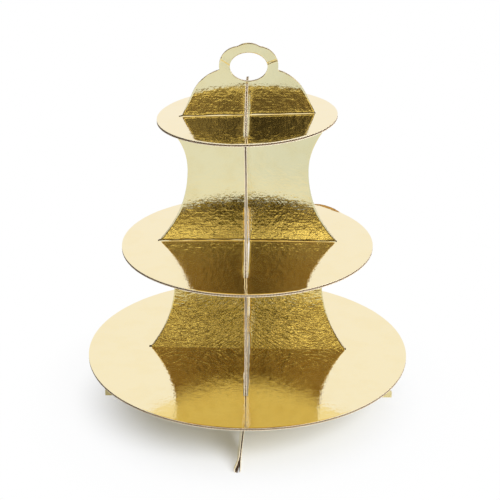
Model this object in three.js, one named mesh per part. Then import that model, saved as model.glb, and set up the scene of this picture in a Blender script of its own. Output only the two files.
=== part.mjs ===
// A three-tier cake stand cut from corrugated board that is faced with gold foil on both sides.
// Two tall panels cross in a cross-lap joint. Three round plates drop over them onto their shoulders.
// Millimetres, +Z up. The origin is on the table, under the line where the panels cross.
// The handle panel lies in the XZ plane, the cross panel in the YZ plane, and the front faces -Y.
import * as THREE from "three";

// Board stock: a fluted core between two foil-faced liners
const linerThickness = 0.45;
const coreThickness = 1.7;
const boardThickness = coreThickness + 2 * linerThickness;

// Plates, and the heights of their top faces
const bottomPlateDiameter = 300;
const middlePlateDiameter = 230;
const topPlateDiameter = 160;
const baseHeight = 52; // table to the bottom plate
const lowerRise = 109.5; // bottom plate to the middle plate
const upperRise = 122; // middle plate to the top plate

// Clearances
const slitPlay = 0.8; // each side of a panel, in a plate's slit
const slitEndPlay = 2; // past each end of a panel, in a plate's slit
const lapPlay = 0.8; // each side of a panel, in the other panel's slot
const lapEndPlay = 0.5; // each slot past the height where the slots meet

// Half widths of the panels, from the top down, so that every slit clears all that is above it
const topWidth = 58.5; // through the top plate's slit
const topBearing = 17.5; // the shoulder under the top plate, past the slit's tip
const topStep = 4.2; // from that shoulder out to the tip in the middle plate's slit
const middleBearing = 9.8; // the shoulder under the middle plate
const bottomStep = 1.5; // from that shoulder out to the tip in the bottom plate's slit
const bottomBearing = 25.5; // the shoulder under the bottom plate, on the legs
const upperWaist = 54.4; // half width of the narrowest place under the top plate
const upperWaistRise = 70.5; // its height over the middle plate
const lowerWaist = 68.3; // half width of the narrowest place under the middle plate
const lowerWaistRise = 72; // its height over the bottom plate
const tipEdge = 1.5; // upright edge of a tip over its plate
const shoulderEdge = 4.6; // upright edge of a shoulder under its plate

// Legs
const toeSpread = 138; // half width at the toes
const toeEdge = 6; // upright edge of a toe
const archSpan = 100; // half width of the arch between the feet
const archRise = 24;

// Dome over the top plate: heights are over that plate's top face
const domeRadius = 39;
const domeInset = 5.2; // from the top tip in to the arc's widest place
const domeRise = 4.1; // of the arc's centre

// Handle ring: three lobes round an oval finger hole
const holeRise = 44.2; // the hole's centre over the top plate
const holeHalfWidth = 16.5;
const holeHalfHeight = 12.8;
const sideLobeRadius = 17.5;
const sideLobeOffset = 8.4;
const sideLobeRise = 0.7; // over the hole's centre
const topLobeRadius = 17.3;
const topLobeRise = 3.9; // over the hole's centre

// Top of the cross panel: a shallow arc just under the finger hole, with rounded corners
const crossTopDrop = 2; // under the hole's lower edge
const crossTopRadius = 131;
const crossCornerRadius = 12;

// The lap joint: the handle panel is slotted from below and the cross panel from above
const lapHeight = 194;

const chordGap = 0.05; // largest gap between a round edge and its chords

const goldFoil = { color: 0xe8c56a, roughness: 0.12, metalness: 1 };
const brownFluting = { color: 0x9a8466, roughness: 0.9, metalness: 0 };

// Heights and widths that follow from the sizes above
const tiers = [
  {
    name: "bottom",
    radius: bottomPlateDiameter / 2,
    top: baseHeight,
    tip: topWidth + topBearing + topStep + middleBearing + bottomStep,
    bearing: bottomBearing,
  },
  {
    name: "middle",
    radius: middlePlateDiameter / 2,
    top: baseHeight + lowerRise,
    tip: topWidth + topBearing + topStep,
    bearing: middleBearing,
  },
  {
    name: "top",
    radius: topPlateDiameter / 2,
    top: baseHeight + lowerRise + upperRise,
    tip: topWidth,
    bearing: topBearing,
  },
];
const waists = [
  { width: lowerWaist, height: tiers[0].top + lowerWaistRise },
  { width: upperWaist, height: tiers[1].top + upperWaistRise },
];
const crown = tiers[2].top; // the height that the dome and the ring are measured from
const holeCentre = crown + holeRise;

// How many chords stay within the chord gap on an arc of this radius and turn, in radians.
// A flank that bulges instead of hollowing has a negative radius.
function chords(radius, turn) {
  const widest = 2 * Math.acos(1 - chordGap / Math.abs(radius));
  return Math.max(2, Math.ceil(Math.abs(turn) / widest));
}

// Points along an arc from angle a to angle b, in radians, both ends included
function arc(x, z, radius, a, b) {
  const steps = chords(radius, b - a);
  const points = [];
  for (let i = 0; i <= steps; i++) {
    const t = a + ((b - a) * i) / steps;
    points.push(new THREE.Vector2(x + radius * Math.cos(t), z + radius * Math.sin(t)));
  }
  return points;
}

// A hollow flank, from its lower end up: the arc that is upright at (waist, waistZ) and ends at (x, z)
function flank(waist, waistZ, x, z) {
  const out = x - waist;
  const up = z - waistZ;
  const radius = (out * out + up * up) / (2 * out);
  const turn = Math.asin(up / radius);
  return up < 0
    ? arc(waist + radius, waistZ, radius, Math.PI - turn, Math.PI)
    : arc(waist + radius, waistZ, radius, Math.PI, Math.PI - turn);
}

// Where two circles cross, on the side of larger x
function crossing(a, b) {
  const dx = b.x - a.x;
  const dz = b.z - a.z;
  const apart = Math.hypot(dx, dz);
  const along = (a.radius ** 2 - b.radius ** 2 + apart ** 2) / (2 * apart);
  const aside = Math.sqrt(a.radius ** 2 - along ** 2);
  const foot = { x: a.x + (dx * along) / apart, z: a.z + (dz * along) / apart };
  const ways = [1, -1].map((way) => ({
    x: foot.x + (way * dz * aside) / apart,
    z: foot.z - (way * dx * aside) / apart,
  }));
  return ways[0].x > ways[1].x ? ways[0] : ways[1];
}

// The angle of a point, seen from a circle's centre
function angleOn(circle, point) {
  return Math.atan2(point.z - circle.z, point.x - circle.x);
}

const dome = { x: topWidth - domeInset - domeRadius, z: crown + domeRise, radius: domeRadius };

// The angle on the dome's arc where the straight flank from the top tip touches it
function domeTangent() {
  const tip = { x: topWidth, z: crown + tipEdge };
  const apart = Math.hypot(tip.x - dome.x, tip.z - dome.z);
  return angleOn(dome, tip) + Math.acos(dome.radius / apart);
}

// The right edge that both panels share, from the toe up to the top tip
function sharedEdge() {
  const points = [new THREE.Vector2(toeSpread, 0)];
  tiers.forEach((tier, i) => {
    const seat = tier.top - boardThickness; // the shoulder that the plate rests on
    const shoulder = tier.tip + tier.bearing;
    const below = seat - shoulderEdge;
    if (i === 0) points.push(...flank(shoulder, below, toeSpread, toeEdge));
    else {
      const waist = waists[i - 1];
      points.push(...flank(waist.width, waist.height, tiers[i - 1].tip, tiers[i - 1].top + tipEdge));
      points.push(...flank(waist.width, waist.height, shoulder, below).slice(1));
    }
    points.push(new THREE.Vector2(shoulder, seat));
    points.push(new THREE.Vector2(tier.tip, seat));
    if (i === tiers.length - 1) points.push(new THREE.Vector2(tier.tip, tier.top + tipEdge));
  });
  return points;
}

// The handle panel over the top tip: the dome's arc and the lobes, up to the middle
function handleTop() {
  const side = { x: sideLobeOffset, z: holeCentre + sideLobeRise, radius: sideLobeRadius };
  const top = { x: 0, z: holeCentre + topLobeRise, radius: topLobeRadius };
  const neck = crossing(dome, side);
  const notch = crossing(side, top);
  return [
    ...arc(dome.x, dome.z, dome.radius, domeTangent(), angleOn(dome, neck)),
    ...arc(side.x, side.z, side.radius, angleOn(side, neck), angleOn(side, notch)).slice(1),
    ...arc(top.x, top.z, top.radius, angleOn(top, notch), Math.PI / 2).slice(1),
  ];
}

// The cross panel over the top tip: a corner that touches the flank and the shallow top arc
function crossTop() {
  const flankAngle = domeTangent();
  const normal = { x: Math.cos(flankAngle), z: Math.sin(flankAngle) };
  const topZ = holeCentre - holeHalfHeight - crossTopDrop;
  const centreZ = topZ - crossTopRadius;
  const reach = crossTopRadius - crossCornerRadius;
  // The corner's centre is one corner radius inside the flank, and on a circle inside the top arc
  const flankReach = normal.x * dome.x + normal.z * (dome.z - centreZ) + dome.radius;
  const lean = Math.asin((flankReach - crossCornerRadius) / reach) - flankAngle;
  const corner = { x: reach * Math.sin(lean), z: centreZ + reach * Math.cos(lean) };
  const slotSide = boardThickness / 2 + lapPlay;
  const slotLean = Math.asin(slotSide / crossTopRadius);
  return [
    ...arc(corner.x, corner.z, crossCornerRadius, flankAngle, Math.PI / 2 - lean),
    ...arc(0, centreZ, crossTopRadius, Math.PI / 2 - lean, Math.PI / 2 - slotLean).slice(1),
  ];
}

const archRadius = (archSpan ** 2 + archRise ** 2) / (2 * archRise);
const archCentreZ = archRise - archRadius;

// The arch's right half, from the middle out to the foot; from is where it starts beside the middle
function archEdge(from) {
  const start = Math.acos(from / archRadius);
  return arc(0, archCentreZ, archRadius, start, Math.acos(archSpan / archRadius));
}

// A closed outline from the points of its right half, which run from the middle's foot up to its top
function mirrored(right) {
  const left = right.filter((p) => p.x > 1e-6).map((p) => new THREE.Vector2(-p.x, p.y));
  return new THREE.Shape([...right, ...left.reverse()]);
}

function handleOutline() {
  const slotSide = boardThickness / 2 + lapPlay;
  const slotEnd = lapHeight + lapEndPlay;
  const outline = mirrored([
    new THREE.Vector2(slotSide, slotEnd),
    ...archEdge(slotSide),
    ...sharedEdge(),
    ...handleTop(),
  ]);
  const hole = new THREE.Path();
  hole.absellipse(0, holeCentre, holeHalfWidth, holeHalfHeight, 0, 2 * Math.PI, true);
  outline.holes.push(hole);
  return outline;
}

function crossOutline() {
  const slotSide = boardThickness / 2 + lapPlay;
  const slotEnd = lapHeight - lapEndPlay;
  return mirrored([
    ...archEdge(0),
    ...sharedEdge(),
    ...crossTop(),
    new THREE.Vector2(slotSide, slotEnd),
  ]);
}

// A round plate with the cross-shaped slit that the panels stand in
function plateOutline(tier) {
  const half = boardThickness / 2 + slitPlay;
  const end = tier.tip + slitEndPlay;
  const outline = new THREE.Shape();
  outline.absarc(0, 0, tier.radius, 0, 2 * Math.PI, false);
  const arm = [new THREE.Vector2(half, half), new THREE.Vector2(end, half), new THREE.Vector2(end, -half)];
  const slit = [];
  for (let quarter = 0; quarter < 4; quarter++) {
    const turn = (-quarter * Math.PI) / 2;
    slit.push(...arm.map((p) => p.clone().rotateAround(new THREE.Vector2(), turn)));
  }
  outline.holes.push(new THREE.Path(slit));
  return outline;
}

const stand = new THREE.Group();

// The three plies of one board, named for its two sides, stacked along the outline's own normal.
// radius is that of its full circle or oval, which three.js draws with twice curveSegments chords:
// an even number, so that a point lies on each axis.
function board(name, outline, backSide, frontSide, radius) {
  const curveSegments = 2 * Math.ceil(chords(radius, 2 * Math.PI) / 4);
  const plies = [
    { name: backSide + "_liner", from: -boardThickness / 2, depth: linerThickness, look: goldFoil },
    { name: "core", from: -coreThickness / 2, depth: coreThickness, look: brownFluting },
    { name: frontSide + "_liner", from: coreThickness / 2, depth: linerThickness, look: goldFoil },
  ];
  const group = new THREE.Group();
  for (const ply of plies) {
    const shape = new THREE.ExtrudeGeometry(outline, {
      depth: ply.depth,
      bevelEnabled: false,
      curveSegments,
    });
    const mesh = new THREE.Mesh(shape, new THREE.MeshStandardMaterial(ply.look));
    mesh.name = name + "_" + ply.name;
    mesh.position.z = ply.from;
    group.add(mesh);
  }
  stand.add(group);
  return group;
}

// The outline's own normal is turned to -Y for the handle panel and to +X for the cross panel
const handlePanel = board("handle_panel", handleOutline(), "back", "front", holeHalfWidth);
handlePanel.rotation.x = Math.PI / 2;

const crossPanel = board("cross_panel", crossOutline(), "left", "right", holeHalfWidth);
crossPanel.rotation.set(Math.PI / 2, 0, Math.PI / 2, "ZYX");

for (const tier of tiers) {
  const plate = board(tier.name + "_plate", plateOutline(tier), "under", "top", tier.radius);
  plate.position.z = tier.top - boardThickness / 2;
}

export default stand;
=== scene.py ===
import math

import bmesh
import bpy
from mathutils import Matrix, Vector, noise


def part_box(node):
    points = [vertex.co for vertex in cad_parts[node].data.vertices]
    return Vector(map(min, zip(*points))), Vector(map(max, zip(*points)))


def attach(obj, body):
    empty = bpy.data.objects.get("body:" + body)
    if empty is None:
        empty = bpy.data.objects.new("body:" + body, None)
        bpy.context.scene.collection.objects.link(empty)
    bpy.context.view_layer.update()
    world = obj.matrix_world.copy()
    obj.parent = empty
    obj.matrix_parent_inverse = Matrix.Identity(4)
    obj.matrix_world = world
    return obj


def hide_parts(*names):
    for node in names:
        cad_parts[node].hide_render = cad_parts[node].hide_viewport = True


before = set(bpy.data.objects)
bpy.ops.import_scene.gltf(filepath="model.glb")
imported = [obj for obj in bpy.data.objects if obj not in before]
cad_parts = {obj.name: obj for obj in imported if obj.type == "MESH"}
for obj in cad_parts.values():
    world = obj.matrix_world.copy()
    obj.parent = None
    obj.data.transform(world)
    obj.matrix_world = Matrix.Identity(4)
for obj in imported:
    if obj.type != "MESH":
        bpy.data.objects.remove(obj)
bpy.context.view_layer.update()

# ---------------------------------------------------------------------------------------------
# Handle panel: the tall board that faces the front and ends in the handle ring. It is die-cut
# from fluted board: a wavy brown medium glued between two liners, each faced with mirror-gold
# foil under a clear film. The dies crush the cut edges a little, so the foil rolls over there.
# ---------------------------------------------------------------------------------------------
MM = 0.001
ALONG_X = Vector((1, 0, 0))
ALONG_Y = Vector((0, 1, 0))
ALONG_Z = Vector((0, 0, 1))

BOTTOM_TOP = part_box("bottom_plate_top_liner")[1].z
MIDDLE_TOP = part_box("middle_plate_top_liner")[1].z
TOP_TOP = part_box("top_plate_top_liner")[1].z
MIDDLE_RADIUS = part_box("middle_plate_core")[1].x


def falling(distance, near, far):
    """1 up to near, 0 from far on, and smooth between them."""
    t = min(max((far - distance) / (far - near), 0.0), 1.0)
    return t * t * (3 - 2 * t)


# The tiers' slopes to the right and the middle tier's crown, which fade out away from each tier
TOP_SLOPE = 0.029
BOTTOM_SLOPE = -0.008
MIDDLE_CROWN = 1.6 * MM
TIER_REACH = 8 * MM, 34 * MM


def tier_offset(place):
    """How far a tier, and the panels' shoulders that carry it, sit off the level."""
    tilt = TOP_SLOPE * place.x * falling(abs(place.z - TOP_TOP), *TIER_REACH)
    tilt += BOTTOM_SLOPE * place.x * falling(abs(place.z - BOTTOM_TOP), *TIER_REACH)
    crown = 1 - min(math.hypot(place.x, place.y) / MIDDLE_RADIUS, 1.0) ** 2
    return tilt + MIDDLE_CROWN * crown * falling(abs(place.z - MIDDLE_TOP), *TIER_REACH)


def between(knots, at):
    """A run through knots of (place, value), rounded off over 8 mm to each side."""
    def straight(x):
        for (x0, y0), (x1, y1) in zip(knots, knots[1:]):
            if x <= x1:
                return y0 + (y1 - y0) * max(x - x0, 0) / (x1 - x0)
        return knots[-1][1]
    return sum(straight(at + step * 4 * MM) for step in (-2, -1, 0, 1, 2)) / 5


# The two creases across the ring: their outer and inner ends, and their depths and widths. The right
# one is crumpled.
LEFT_CREASE = Vector((-22.6, 0, 333.2)) * MM, Vector((-14.9, 0, 328.4)) * MM
LEFT_DEPTH, LEFT_WIDTH = 0.34 * MM, 0.4 * MM
RIGHT_CREASE = Vector((25.5, 0, 334.4)) * MM, Vector((18.1, 0, 331.5)) * MM
RIGHT_DEPTH, RIGHT_WIDTH = 0.4 * MM, 0.8 * MM
RIGHT_CRUMPLE = 1.2
CRUMPLES_PER_METRE = 900
CREASE_REACH = 12 * MM


def crease_depth(place, outer, inner, width, crumple):
    """A fold across the ring, from its outer edge to the finger hole. A crumpled one is a groove,
    and a clean one is a step, whose upper side stands forward."""
    square = (inner - outer).normalized().cross(ALONG_Y)
    above = (place - outer).dot(square) * math.copysign(1, square.z)
    if crumple:
        return math.exp(-((above / width) ** 2)) * (1 + crumple * noise.noise(place * CRUMPLES_PER_METRE))
    return -math.tanh(above / width) * math.exp(-((above / (5 * width)) ** 2))


# The panel's slide to the right in its slots, and how much further its top has gone
SLIDE = 0.62 * MM
SLIDE_ABOVE = 0.8 * MM

# Where the right lip of the panel's slit leans in to close its gap: the heights, and how far up and
# down it is closed and then open
CLOSED_LIPS = (76.5 * MM, 8 * MM, 11.5 * MM), (178 * MM, 17 * MM, 22 * MM)
LIP_LEAN = 0.5 * MM
CLOSED_LEAN = 0.6 * MM

# How far the panel bows to the back, by height: both in millimetres
BOW = (0, -0.9), (52, -0.8), (104, 0.2), (161, 0.3), (206, 0.75), (281, 0.1), (312, -1.15), (349, -1.4)
HANDLE_PANEL_WARP = 0.16 * MM
WARPS_PER_METRE = 14


def handle_panel_offset(place, ply):
    """The panel has slid to the right in its slots, bows a little and is creased at the ring. Low down,
    the right lip of its slit leans towards the cross panel."""
    slide = SLIDE + SLIDE_ABOVE * (1 - falling(place.z, 200 * MM, 330 * MM))
    closed = sum(falling(abs(place.z - height), near, far) for height, near, far in CLOSED_LIPS)
    beside_slit = falling(abs(place.x), 2.4 * MM, 12 * MM) * falling(place.z, 200 * MM, 230 * MM)
    slide -= (LIP_LEAN + CLOSED_LEAN * closed) * beside_slit
    bow = between([(height * MM, back * MM) for height, back in BOW], place.z)
    warped_at = Vector((place.x * WARPS_PER_METRE, 3.7, place.z * WARPS_PER_METRE))
    warp = HANDLE_PANEL_WARP * noise.noise(warped_at)
    flat = Vector((place.x, 0, place.z))
    dent = 0.0
    if abs(flat.z - LEFT_CREASE[0].z) < CREASE_REACH:
        if flat.x < 0:
            dent = LEFT_DEPTH * crease_depth(flat, *LEFT_CREASE, LEFT_WIDTH, 0)
        else:
            dent = RIGHT_DEPTH * crease_depth(flat, *RIGHT_CREASE, RIGHT_WIDTH, RIGHT_CRUMPLE)
    return Vector((slide, bow + warp + dent, tier_offset(place)))


def crease_cuts(ply):
    """Cuts beside both creases, so that the board can fold there."""
    for outer, inner in (LEFT_CREASE, RIGHT_CREASE):
        square = (inner - outer).normalized().cross(ALONG_Y)
        middle = (outer + inner) / 2
        places = [middle.dot(square) + step * MM for step in (-2, -1.3, -0.8, -0.4, 0, 0.4, 0.8, 1.3, 2)]
        cut_near(ply, middle, Vector((9, 9, 7)) * MM, square, places)
        along = (inner - outer).normalized()
        places = [middle.dot(along) + step * MM for step in range(-5, 6)]
        cut_near(ply, middle, Vector((9, 9, 5)) * MM, along, places)


WELD = 0.002 * MM


def ply_copy(node):
    """A welded copy of a CAD ply, with its flat faces joined up."""
    ply = bmesh.new()
    ply.from_mesh(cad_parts[node].data)
    bmesh.ops.remove_doubles(ply, verts=ply.verts, dist=WELD)
    bmesh.ops.dissolve_limit(ply, angle_limit=0.002, verts=ply.verts, edges=ply.edges)
    return ply


def cut_across(ply, direction, step):
    """Cuts a ply with parallel planes, so that it can wave and bend."""
    places = [v.co.dot(direction) for v in ply.verts]
    first = math.floor(min(places) / step) + 1
    for i in range(first, math.ceil(max(places) / step)):
        whole = ply.verts[:] + ply.edges[:] + ply.faces[:]
        bmesh.ops.bisect_plane(ply, geom=whole, dist=WELD, plane_co=direction * i * step, plane_no=direction)


def cut_near(ply, middle, reach, direction, places):
    """Cuts only the faces round a place, with planes square to a direction."""
    near = [
        f for f in ply.faces
        if all(
            min(v.co[i] for v in f.verts) < middle[i] + reach[i]
            and max(v.co[i] for v in f.verts) > middle[i] - reach[i]
            for i in range(3)
        )
    ]
    near += list({e for f in near for e in f.edges}) + list({v for f in near for v in f.verts})
    for place in places:
        near = bmesh.ops.bisect_plane(
            ply, geom=near, dist=WELD, plane_co=direction * place, plane_no=direction
        )["geom"]


SHARP_FROM = math.radians(38)


def finished(name, node, body, ply, offset, materials):
    """Settles a ply into its real place, and makes it the piece that stands for its CAD node."""
    for vertex in ply.verts:
        vertex.co += offset(vertex.co.copy(), name)
    mesh = bpy.data.meshes.new(name)
    ply.to_mesh(mesh)
    ply.free()
    mesh.shade_smooth()
    mesh.set_sharp_from_angle(angle=SHARP_FROM)
    for material in materials:
        mesh.materials.append(material)
    piece = bpy.data.objects.new(name, mesh)
    bpy.context.scene.collection.objects.link(piece)
    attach(piece, body)
    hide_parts(node)
    return piece


# How squarely a face has to look to a side to belong to it, as a cosine, and the distance between
# the cuts that let a board bend
FACING = 0.9
BEND_STEP = 4 * MM

# The crush beside a liner's cut edges, in millimetres: how far in it reaches, how deep the foil
# sinks, and the widths of the rings of faces that carry it on the foil side and on the core side
CRUSH_REACH = 1.3
FOIL_CRUSH = 0.2
PANEL_PINCH = 0.3
FOIL_RINGS = 0.3, 0.4, 0.6, 0.15
CORE_RINGS = 0.6, 0.7


def liner(name, node, body, outward, offset, foil, fine_cuts, pinch):
    """One foiled liner. Beside the cut edges its foil side is crushed by FOIL_CRUSH and its core side
    by pinch, both towards the core."""
    ply = ply_copy(node)
    press = ply.verts.layers.float.new("press")
    face_side = [f for f in ply.faces if f.normal.dot(outward) > FACING]
    for face in ply.faces:
        face.material_index = 1
    for face in face_side:
        face.material_index = 0
    core_side = [f for f in ply.faces if f.normal.dot(outward) < -FACING]
    for faces, deepest, widths in ((face_side, FOIL_CRUSH, FOIL_RINGS), (core_side, pinch, CORE_RINGS)):
        done = 0
        for width in (0, *widths):
            if width:
                bmesh.ops.inset_region(ply, faces=faces, thickness=width * MM, use_even_offset=True)
            done += width
            for vertex in {v for f in faces for v in f.verts}:
                vertex[press] = deepest * MM * max(1 - done / CRUSH_REACH, 0) ** 2
    for side in (ALONG_X, ALONG_Y, ALONG_Z):
        if abs(side.dot(outward)) < 0.5:
            cut_across(ply, side, BEND_STEP)
    fine_cuts(ply)
    for vertex in ply.verts:
        uneven = 1 + 0.5 * noise.noise(vertex.co * 160)
        vertex.co -= outward * vertex[press] * uneven
    return finished(name, node, body, ply, offset, [foil, cut_paper])


FLUTE_PITCH = 2.5 * MM
CUTS_PER_FLUTE = 8
SHEET = 0.2 * MM
SETBACK = 0.3 * MM


def fluting(name, node, body, outward, waved, offset, fine_cuts):
    """The wavy medium of one board: a thin sheet whose flutes run square to the waved direction, and
    which stops a setback short of the liners' cut edges."""
    ply = ply_copy(node)
    low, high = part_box(node)
    swing = (abs((high - low).dot(outward)) - SHEET) / 2
    unwanted = [f for f in ply.faces if f.normal.dot(outward) < FACING]
    bmesh.ops.delete(ply, geom=unwanted, context="FACES")
    margin = bmesh.ops.inset_region(ply, faces=ply.faces[:], thickness=SETBACK, use_even_offset=True)
    bmesh.ops.delete(ply, geom=margin["faces"], context="FACES")
    cut_across(ply, waved, FLUTE_PITCH / CUTS_PER_FLUTE)
    cut_across(ply, outward.cross(waved), 3 * BEND_STEP)
    fine_cuts(ply)
    for vertex in ply.verts:
        wave = math.sin(2 * math.pi * vertex.co.dot(waved) / FLUTE_PITCH)
        vertex.co += outward * (swing * wave - swing)
    bmesh.ops.solidify(ply, geom=ply.faces[:], thickness=SHEET)
    bmesh.ops.recalc_face_normals(ply, faces=ply.faces)
    return finished(name, node, body, ply, offset, [brown_medium])


class Socket:
    """An output of a node. Python's operators on it add Math nodes."""

    def __init__(self, shader, output):
        self.shader = shader
        self.output = output

    def math(self, operation, *values):
        return self.shader.add("ShaderNodeMath", {"operation": operation}, dict(enumerate(values)))

    def __add__(self, other):
        return self.math("ADD", self, other)

    def __radd__(self, other):
        return self.math("ADD", other, self)

    def __sub__(self, other):
        return self.math("SUBTRACT", self, other)

    def __rsub__(self, other):
        return self.math("SUBTRACT", other, self)

    def __mul__(self, other):
        return self.math("MULTIPLY", self, other)

    def __rmul__(self, other):
        return self.math("MULTIPLY", other, self)


class Shader:
    """The node tree of a material or of the world."""

    def __init__(self, owner):
        owner.use_nodes = True
        self.tree = owner.node_tree
        self.tree.nodes.clear()

    def add(self, kind, settings=None, inputs=None, output=0):
        """Adds a node: its settings first, then the values or links of its sockets."""
        node = self.tree.nodes.new(kind)
        for name, value in (settings or {}).items():
            if name != "stops":
                setattr(node, name, value)
                continue
            while len(node.color_ramp.elements) < len(value):
                node.color_ramp.elements.new(1)
            for element, (position, color) in zip(node.color_ramp.elements, value):
                element.position = position
                element.color = (*color, 1)
        for name, value in (inputs or {}).items():
            if isinstance(value, Socket):
                self.tree.links.new(value.output, node.inputs[name])
            else:
                node.inputs[name].default_value = value
        return Socket(self, node.outputs[output]) if node.outputs else node

    def step(self, value, low, high):
        """0 below low, 1 above high, and smooth between them."""
        limits = {"Value": value, "From Min": low, "From Max": high}
        return self.add("ShaderNodeMapRange", {"interpolation_type": "SMOOTHSTEP"}, limits)

    def mixed(self, factor, a, b):
        """A mix of two colours."""
        return self.add("ShaderNodeMix", {"data_type": "RGBA"}, {0: factor, 6: a, 7: b}, output=2)


def new_material(name):
    material = bpy.data.materials.new(name)
    return material, Shader(material)


# Painted shade: a darker gold for the valleys of the folds low down
FOLD_SHADE_GOLD = (0.85, 0.71, 0.34, 1)


def gold_foil(name, waved, stretch, wrinkled, film, clean, smudged):
    """Mirror-gold foil under a clear film. It shows the board's orange peel and, faintly, its flutes,
    across the waved axis. Wrinkled foil also has folds that fan out from the panels' crossing, deepest
    low down, where painted shade darkens their valleys. Its heights are in millimetres, and film is the
    weight of its coat."""
    material, shader = new_material(name)
    place = shader.add("ShaderNodeTexCoord", output="Object")
    x, y, z = (shader.add("ShaderNodeSeparateXYZ", inputs={0: place}, output=i) for i in range(3))
    across = {"X": x, "Z": z}[waved]

    def grain(size, detail, stretch=(1, 1, 1)):
        mapped = shader.add("ShaderNodeMapping", inputs={"Vector": place, "Scale": stretch})
        sizes = {"Vector": mapped, "Scale": 1 / size, "Detail": detail, "Roughness": 0.55}
        return shader.add("ShaderNodeTexNoise", inputs=sizes)

    peel = grain(1.6 * MM, 2)
    dimples = grain(5 * MM, 1)
    streaks = grain(0.9 * MM, 1, stretch)
    turns = across * (2 * math.pi / FLUTE_PITCH)
    ripple = turns.math("SINE", turns)
    height = (0.036 if wrinkled else 0.026) * peel + 0.08 * dimples + 0.01 * streaks + 0.0015 * ripple
    if wrinkled:
        # The folds follow the lines of equal fan, which fall away from the crossing and level out
        aside = x.math("ABSOLUTE", x) + y.math("ABSOLUTE", y)
        fan = z + 1.1 * aside - 9 * aside * aside
        folds = shader.add("ShaderNodeCombineXYZ", inputs={0: aside * 0.21 - 0.09 * z, 2: fan})
        sizes = {"Vector": folds, "Scale": 1 / (2.2 * MM), "Detail": 2, "Roughness": 0.5}
        creases = shader.add("ShaderNodeTexNoise", inputs=sizes)
        low_down = 1 - shader.step(z, 140 * MM, 170 * MM)
        depth = 0.025 + 0.115 * low_down - 0.015 * shader.step(z, 250 * MM, 280 * MM)
        height = height + depth * creases
    bump = shader.add("ShaderNodeBump", inputs={"Strength": 1.0, "Distance": MM, "Height": height})
    smudge = shader.step(grain(22 * MM, 3), 0.42, 0.68)
    smudge_and_fold_shade = shader.mixed(smudge, clean, smudged)
    # Painted shade: low down, the valleys of the folds are coloured a darker gold
    if wrinkled:
        smudge_and_fold_shade = shader.mixed(low_down * shader.step(creases, 0.54, 0.34), smudge_and_fold_shade, FOLD_SHADE_GOLD)
    principled = shader.add(
        "ShaderNodeBsdfPrincipled",
        inputs={
            "Base Color": smudge_and_fold_shade,
            "Metallic": 1.0,
            "Roughness": 0.05 + 0.05 * smudge,
            "Coat Weight": film,
            "Specular Tint": (1.0, 0.96, 0.9, 1),
            "Coat Roughness": 0.02,
            "Coat IOR": 1.6,
            "Normal": bump,
        },
    )
    shader.add("ShaderNodeOutputMaterial", inputs={"Surface": principled})
    return material


def paper(name, light, dark, grain_size, painted_low_shade=None):
    """Bare board paper, with the mottle of its fibres, and perhaps a painted shade that darkens it where it
    nears the floor.
    """
    material, shader = new_material(name)
    place = shader.add("ShaderNodeTexCoord", output="Object")
    sizes = {"Vector": place, "Scale": 1 / grain_size, "Detail": 3}
    fibres = shader.add("ShaderNodeTexNoise", inputs=sizes)
    bump = shader.add("ShaderNodeBump", inputs={"Distance": 0.05 * MM, "Height": fibres})
    color = shader.mixed(shader.step(fibres, 0.35, 0.7), light, dark)
    # Painted shade: the paper turns darker towards the floor, standing in for the shade deep in the flutes
    # low down
    if painted_low_shade:
        height = shader.add("ShaderNodeSeparateXYZ", inputs={0: place}, output=2)
        color = shader.mixed(shader.step(height, 30 * MM, 48 * MM), painted_low_shade, color)
    principled = shader.add(
        "ShaderNodeBsdfPrincipled",
        inputs={
            "Base Color": color,
            "Roughness": 0.9,
            "Normal": bump,
        },
    )
    shader.add("ShaderNodeOutputMaterial", inputs={"Surface": principled})
    return material


cut_paper = paper(
    "cut_liner_paper", light=(0.88, 0.79, 0.63, 1), dark=(0.74, 0.63, 0.46, 1), grain_size=0.5 * MM
)
# The medium's darker colour near the floor is painted shade
brown_medium = paper(
    "brown_medium", light=(0.56, 0.42, 0.27, 1), dark=(0.40, 0.29, 0.18, 1), grain_size=0.6 * MM,
    painted_low_shade=(0.13, 0.08, 0.045, 1),
)
panel_foil = gold_foil(
    "panel_gold_foil", waved="Z", stretch=(1, 1, 0.3), wrinkled=True, film=0.15,
    clean=(0.94, 0.815, 0.445, 1), smudged=(0.93, 0.79, 0.41, 1),
)

for side, outward in (("front", -ALONG_Y), ("back", ALONG_Y)):
    liner(
        f"handle_panel_{side}_foil", f"handle_panel_{side}_liner", "handle_panel",
        outward, handle_panel_offset, panel_foil, crease_cuts, PANEL_PINCH,
    )
fluting(
    "handle_panel_fluting", "handle_panel_core", "handle_panel",
    ALONG_Y, ALONG_Z, handle_panel_offset, crease_cuts,
)

# ---------------------------------------------------------------------------------------------
# Cross panel: the second tall board, die-cut from the same foiled stock. Its slot is cut from above,
# and the handle panel's comes down into it. Its front leg has been knocked sideways, and the plies
# part at that toe.
# ---------------------------------------------------------------------------------------------
FRONT_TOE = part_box("cross_panel_core")[0].y
LEG_BEND = -6 * MM
CROSS_PANEL_WARP = 0.12 * MM
TOE_HEIGHT = 12 * MM
TOE_CURL_FROM = 0.8

# How far each ply moves sideways where they part at the front toe, and how far its end curls back
PARTINGS = {
    "cross_panel_left_foil": (-3.0 * MM, 2.2 * MM),
    "cross_panel_fluting": (-1.1 * MM, 0),
    "cross_panel_right_foil": (0.9 * MM, -0.3 * MM),
}


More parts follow.
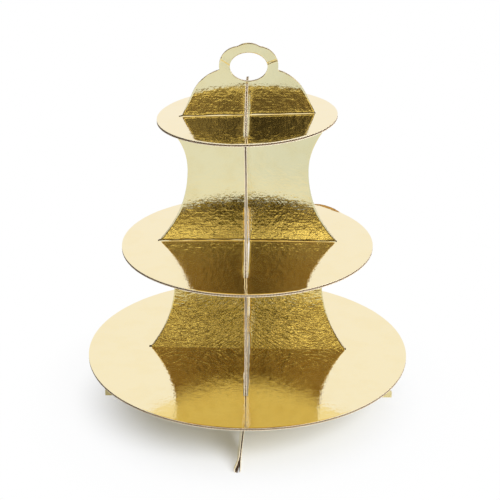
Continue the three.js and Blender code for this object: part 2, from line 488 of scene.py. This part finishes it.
def cross_panel_offset(place, ply):
    """The bent front leg, whose plies part at the toe, and a slight warp."""
    below = min(max((BOTTOM_TOP - place.z) / BOTTOM_TOP, 0), 1)
    front = falling(place.y - FRONT_TOE, 45 * MM, 95 * MM)
    bend = LEG_BEND * below ** 1.35 * front
    parting, curl = PARTINGS[ply]
    toe = min(max(1 - place.z / TOE_HEIGHT, 0), 1)
    toe_end = max(toe - TOE_CURL_FROM, 0) / (1 - TOE_CURL_FROM)
    spread = parting * math.sin(toe ** 1.5 * 1.7) + curl * toe_end ** 2
    spread *= falling(place.y - FRONT_TOE, 5 * MM, 16 * MM)
    warped_at = Vector((8.1, place.y * WARPS_PER_METRE, place.z * WARPS_PER_METRE))
    warp = CROSS_PANEL_WARP * noise.noise(warped_at)
    return Vector((bend + spread + warp, 0, tier_offset(place)))


def toe_cuts(ply):
    """Cuts across the front leg, so that it can bend and part at the toe."""
    toe = Vector((0, FRONT_TOE + 8 * MM, 9 * MM))
    cut_near(ply, toe, Vector((5, 14, 10)) * MM, ALONG_Z, [height * MM for height in range(1, 19)])


for side, outward in (("left", -ALONG_X), ("right", ALONG_X)):
    liner(
        f"cross_panel_{side}_foil", f"cross_panel_{side}_liner", "cross_panel",
        outward, cross_panel_offset, panel_foil, toe_cuts, PANEL_PINCH,
    )
fluting(
    "cross_panel_fluting", "cross_panel_core", "cross_panel",
    ALONG_X, ALONG_Z, cross_panel_offset, toe_cuts,
)

# ---------------------------------------------------------------------------------------------
# Plates: three round boards with a cross-shaped slit, dropped over the panels onto their
# shoulders. Their flutes run from front to back. Each one lies a little off the level.
# ---------------------------------------------------------------------------------------------
plate_foil = gold_foil(
    "plate_gold_foil", waved="X", stretch=(1, 0.3, 1), wrinkled=False, film=1.0,
    clean=(0.935, 0.815, 0.47, 1), smudged=(0.93, 0.80, 0.44, 1),
)

PLATE_PINCH = 0.05
PLATE_WARP = 0.25 * MM
PLATE_WARPS_PER_METRE = 11

# The bruise at the middle plate's rim. It is centred on an angle round the plate, and the rim curls
# fully up to the first turn to either side and not at all from the second, in radians.
CURL_ANGLE = math.radians(48)
CURL_TURNS = 0.04, 0.17
CURL_WIDTH = 2.2 * MM
CURL_RISE = 1.7 * MM
# How far round to either side the painted reflection on the curl reaches, in radians
CURL_PAINT_TURN = 0.13


def slit_corners(tier):
    """The corners of a plate's cross-shaped slit, which are all its core's corners but the rim's."""
    corners = [v.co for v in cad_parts[f"{tier}_plate_core"].data.vertices]
    radius = max(c.x for c in corners)
    return [c for c in corners if math.hypot(c.x, c.y) < 0.9 * radius]


SLIT_HALF = min(abs(c.y) for c in slit_corners("top"))

# The width and rise of the lips that the panels pushed up at each tier's slit, and of the torn paper
# that stands along them
LIPS = {"bottom": (2.2 * MM, 0.22 * MM), "middle": (2.6 * MM, 0.3 * MM), "top": (3.6 * MM, 0.5 * MM)}
BURRS = {"bottom": (0.9 * MM, 0.1 * MM), "middle": (1.2 * MM, 0.95 * MM), "top": (1.2 * MM, 0.85 * MM)}
REACHES = {tier: max(c.x for c in slit_corners(tier)) for tier in LIPS}


def plate_offset(place, ply):
    """The tier's tilt, the warp of a thin board, the lips pushed up at the slit, and one curled rim."""
    tier = ply.split("_")[0]
    tier_shift = round(place.z * 20) * 2.3
    warped_at = Vector((place.x * PLATE_WARPS_PER_METRE, place.y * PLATE_WARPS_PER_METRE, tier_shift))
    warp = PLATE_WARP * noise.noise(warped_at)
    width, rise = LIPS[tier]
    burr_width, burr = BURRS[tier]
    lip = 0.0
    for along, aside in ((abs(place.x), abs(place.y)), (abs(place.y), abs(place.x))):
        past = max(along - REACHES[tier], 0)
        off = math.hypot(max(aside - SLIT_HALF, 0), past)
        uneven = 0.75 + 0.6 * noise.noise(place * 60)
        up = rise * max(1 - off / width, 0) ** 2
        if ply.endswith("top_foil"):
            ending = falling(along, REACHES[tier] - 3 * MM, REACHES[tier] - 0.5 * MM)
            up += burr * ending * max(1 - off / burr_width, 0) ** 2
        lip = max(lip, up * uneven)
    curl = 0.0
    if tier == "middle":
        out = math.hypot(place.x, place.y) - (MIDDLE_RADIUS - CURL_WIDTH)
        turn = abs(math.atan2(place.y, place.x) - CURL_ANGLE)
        curl = CURL_RISE * max(out / CURL_WIDTH, 0) ** 1.2 * falling(turn, *CURL_TURNS)
    return Vector((0, 0, tier_offset(place) + warp + lip + curl))


def slit_cuts(ply):
    """Cuts beside the slit's arms and at the curled rim, so that the board can bend there."""
    low = min(v.co.z for v in ply.verts)
    beside = [SLIT_HALF + step * MM for step in (0.25, 0.5, 0.8, 1.1, 1.6, 2.4, 3.6)]
    for direction in (ALONG_X, ALONG_Y):
        reach = Vector([9 * MM if abs(direction[i]) > 0.5 else 100 * MM for i in range(3)])
        cut_near(ply, Vector(), reach, direction, beside + [-b for b in beside])
    if abs(low - MIDDLE_TOP) < 5 * MM:
        out = Vector((math.cos(CURL_ANGLE), math.sin(CURL_ANGLE), 0))
        middle = out * MIDDLE_RADIUS + ALONG_Z * low
        places = [MIDDLE_RADIUS - step * MM for step in (0.4, 0.8, 1.2, 1.6, 2.2, 3)]
        cut_near(ply, middle, Vector((20, 20, 9)) * MM, out, places)


# Painted reflection: the dark golden brown that the curl's upturned face shows
bruised_foil = paper(
    "bruised_foil", light=(0.66, 0.38, 0.09, 1), dark=(0.34, 0.17, 0.05, 1), grain_size=1.5 * MM
)

for tier in ("bottom", "middle", "top"):
    for side, outward in (("top", ALONG_Z), ("under", -ALONG_Z)):
        liner(
            f"{tier}_plate_{side}_foil", f"{tier}_plate_{side}_liner", f"{tier}_plate",
            outward, plate_offset, plate_foil, slit_cuts, PLATE_PINCH,
        )
    fluting(
        f"{tier}_plate_fluting", f"{tier}_plate_core", f"{tier}_plate",
        ALONG_Z, ALONG_X, plate_offset, slit_cuts,
    )

# The curled rim is painted a dark golden brown in place of the foil's mirror: a painted reflection of its
# upturned face
middle_top_mesh = bpy.data.objects["middle_plate_top_foil"].data
middle_top_mesh.materials.append(bruised_foil)
for face in middle_top_mesh.polygons:
    out = math.hypot(face.center.x, face.center.y) - (MIDDLE_RADIUS - CURL_WIDTH)
    turn = abs(math.atan2(face.center.y, face.center.x) - CURL_ANGLE)
    if out > 0 and turn < CURL_PAINT_TURN:
        face.material_index = middle_top_mesh.materials.find("bruised_foil")

# ---------------------------------------------------------------------------------------------
# Floor, light and camera: a pale floor that carries the shadow, a white studio all round, a dim
# warm screen in front that only the foil's reflections show, and one broad lamp overhead.
# ---------------------------------------------------------------------------------------------
def studio_sheet(name, corners, material):
    """A flat sheet of the studio, from its corners."""
    sheet = bmesh.new()
    sheet.faces.new([sheet.verts.new(corner) for corner in corners])
    mesh = bpy.data.meshes.new(name)
    sheet.to_mesh(mesh)
    sheet.free()
    mesh.materials.append(material)
    piece = bpy.data.objects.new(name, mesh)
    bpy.context.scene.collection.objects.link(piece)
    return piece


def ray_kinds(shader):
    """Whether the camera sees a surface, and whether a mirror does."""
    return [shader.add("ShaderNodeLightPath", output=f"Is {kind} Ray") for kind in ("Camera", "Glossy")]


floor_material, shader = new_material("pale_floor")
place = shader.add("ShaderNodeTexCoord", output="Object")
away = shader.add("ShaderNodeVectorMath", {"operation": "LENGTH"}, {0: place}, output=1)
rightward, rearward = (shader.add("ShaderNodeSeparateXYZ", inputs={0: place}, output=i) for i in (0, 1))
camera_ray, mirrored = ray_kinds(shader)
lift = 0.08 + 0.87 * shader.step(away, 0.085, 0.175) + 0.05 * shader.step(away, 0.165, 0.23)
mirror_lift = 0.2 + 0.8 * shader.step(away, 0.12, 0.3)

# What the foil mirrors of the floor: bluish, dimmer to the right, warm near the stand, white behind
tint = shader.mixed(shader.step(rightward, -0.04, 0.04), (0.80, 0.86, 0.98, 1), (0.74, 0.815, 0.945, 1))
tint = shader.mixed(shader.step(away, 0.5, 0.62), (0.845, 0.875, 0.93, 1), tint)
tint = shader.mixed(shader.step(away, 0.44, 0.5), (0.77, 0.77, 0.68, 1), tint)
tint = shader.mixed(shader.step(rearward, 0.02, 0.12), tint, (1, 1, 1, 1))

lit = shader.add("ShaderNodeBsdfDiffuse", inputs={"Color": (0.89, 0.92, 0.98, 1)})
glow = shader.add("ShaderNodeEmission", inputs={"Color": shader.mixed(mirrored, (1, 1, 1, 1), tint)})
surface = shader.add(
    "ShaderNodeMixShader", inputs={0: camera_ray * lift + mirrored * mirror_lift, 1: lit, 2: glow}
)
shader.add("ShaderNodeOutputMaterial", inputs={"Surface": surface})

FLOOR_HALF = 5
corners = [(x * FLOOR_HALF, y * FLOOR_HALF, 0) for x, y in ((-1, -1), (1, -1), (1, 1), (-1, 1))]
floor = studio_sheet("floor", corners, floor_material)

screen_material, shader = new_material("dim_screen")
place = shader.add("ShaderNodeTexCoord", output="Object")
x, z = (shader.add("ShaderNodeSeparateXYZ", inputs={0: place}, output=i) for i in (0, 2))
beside = x + 0.035
off_centre = beside.math("ABSOLUTE", beside)

# The screen's colours by height, in metres
RAMP_HEIGHT = 2
SCREEN_SHADES = [
    (0.40, (0.10, 0.085, 0.055)),
    (0.74, (0.30, 0.26, 0.15)),
    (0.82, (0.26, 0.215, 0.12)),
    (0.876, (0.15, 0.12, 0.065)),
    (0.924, (0.34, 0.275, 0.14)),
    (0.974, (0.31, 0.25, 0.125)),
    (0.994, (1.12, 1.02, 0.57)),
    (1.03, (1.1, 1.0, 0.54)),
    (1.08, (0.26, 0.215, 0.12)),
    (1.13, (0.125, 0.10, 0.055)),
    (1.20, (0.15, 0.12, 0.07)),
    (1.26, (0.24, 0.185, 0.10)),
    (1.34, (0.15, 0.095, 0.037)),
    (1.50, (0.19, 0.12, 0.045)),
    (1.80, (0.34, 0.24, 0.09)),
]
stops = [(height / RAMP_HEIGHT, color) for height, color in SCREEN_SHADES]
shade = shader.add("ShaderNodeValToRGB", {"stops": stops}, {0: z * (1 / RAMP_HEIGHT)})

# It is dimmer in the middle than at its flanks, and uneven all over
middle = 0.15 + 0.55 * shader.step(z, 0.93, 0.99) - 0.15 * shader.step(z, 1.12, 1.28)
flank = 0.7 + 0.8 * shader.step(z, 0.95, 1.0) - 0.2 * shader.step(z, 1.05, 1.15)
gain = middle + (flank - middle) * shader.step(off_centre, 0.02, 0.18)
patches = shader.add("ShaderNodeTexNoise", inputs={"Vector": place, "Scale": 14.0, "Detail": 3.0})
uneven = 3.6 * patches - 0.8
gain = gain * uneven.math("MAXIMUM", uneven, 0.15)
shade = shader.add("ShaderNodeVectorMath", {"operation": "SCALE"}, {0: shade, "Scale": gain})

# It fades out towards its edges
middle_part = 1 - shader.step(off_centre, 1.6, 4)
solid = middle_part * shader.step(z, 0.3, 0.55) * (1 - shader.step(z, 1.6, 2.9))
clear = shader.add("ShaderNodeBsdfTransparent")
glow = shader.add("ShaderNodeEmission", inputs={"Color": shade})
surface = shader.add("ShaderNodeMixShader", inputs={0: solid, 1: clear, 2: glow})
shader.add("ShaderNodeOutputMaterial", inputs={"Surface": surface})

SCREEN_HALF, SCREEN_AWAY = 4.2, 2.2
LOW, HIGH = 0.1, 3
outline = (-SCREEN_HALF, LOW), (SCREEN_HALF, LOW), (SCREEN_HALF, HIGH), (-SCREEN_HALF, HIGH)
screen = studio_sheet("dim_screen", [(x, -SCREEN_AWAY, z) for x, z in outline], screen_material)
screen.visible_camera = screen.visible_diffuse = screen.visible_shadow = screen.visible_transmission = False

world = bpy.data.worlds.new("studio")
bpy.context.scene.world = world
shader = Shader(world)
camera_ray, mirrored = ray_kinds(shader)
backdrop = shader.mixed(mirrored, (0.4, 0.4, 0.4, 1), (0.985, 0.975, 1, 1))
backdrop = shader.mixed(camera_ray, backdrop, (1, 1, 1, 1))
background = shader.add("ShaderNodeBackground", inputs={"Color": backdrop, "Strength": 1.0})
shader.add("ShaderNodeOutputWorld", inputs={"Surface": background})

lamp = bpy.data.lights.new("softbox", "AREA")
lamp.shape = "DISK"
lamp.size = 1.8
lamp.energy = 90
softbox = bpy.data.objects.new("softbox", lamp)
softbox.location = (1.46, -2.08, 1.69)
softbox.rotation_euler = (Vector((0, 0, 0.1)) - softbox.location).to_track_quat("-Z", "Y").to_euler()
softbox.visible_glossy = False
bpy.context.scene.collection.objects.link(softbox)

camera_data = bpy.data.cameras.new("camera")
camera_data.sensor_width = 36
camera_data.lens = 100.72
camera = bpy.data.objects.new("camera", camera_data)
camera.location = (0.0225, -1.1834, 0.6656)
camera.rotation_euler = [math.radians(turn) for turn in (66.58, 0.05, 0.95)]
bpy.context.scene.collection.objects.link(camera)
bpy.context.scene.camera = camera
bpy.context.scene.view_settings.view_transform = "Standard"
